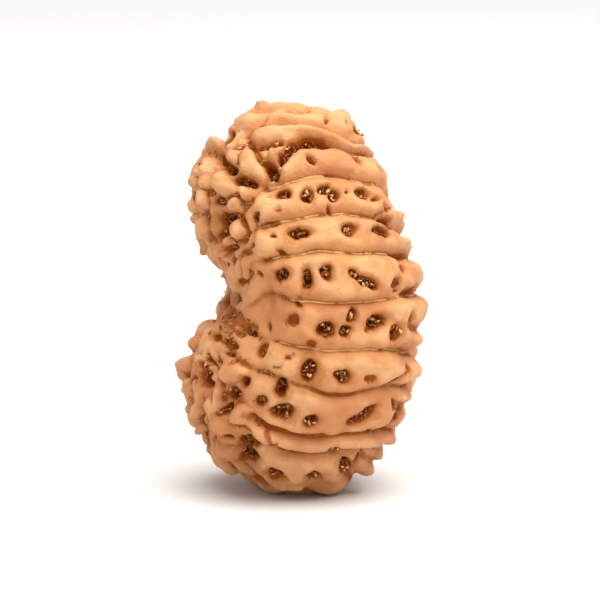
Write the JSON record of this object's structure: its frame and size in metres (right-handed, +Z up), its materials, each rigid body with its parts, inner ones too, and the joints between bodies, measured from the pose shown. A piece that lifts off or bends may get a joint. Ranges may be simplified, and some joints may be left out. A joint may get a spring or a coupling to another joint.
{
  "type": "rudraksha bead",
  "caption": "Kidney-shaped woody seed stone of the rudraksha tree, ribbed from pole to pole, pitted and knobbed, standing on one end.",
  "frame": {"origin": "middle of the bounding box at the flat resting spot under the bead", "axes": "+Z up along the long axis, -Y the front with the notch on the left (-X)"},
  "size_m": [0.0227, 0.025, 0.035],
  "materials": {
    "woody_stone": "dry woody stone with a faint waxy sheen, tan ribs and dark red-brown pits"
  },
  "bodies": {
    "root": {"bead": "woody_stone"}
  },
  "joints": []
}
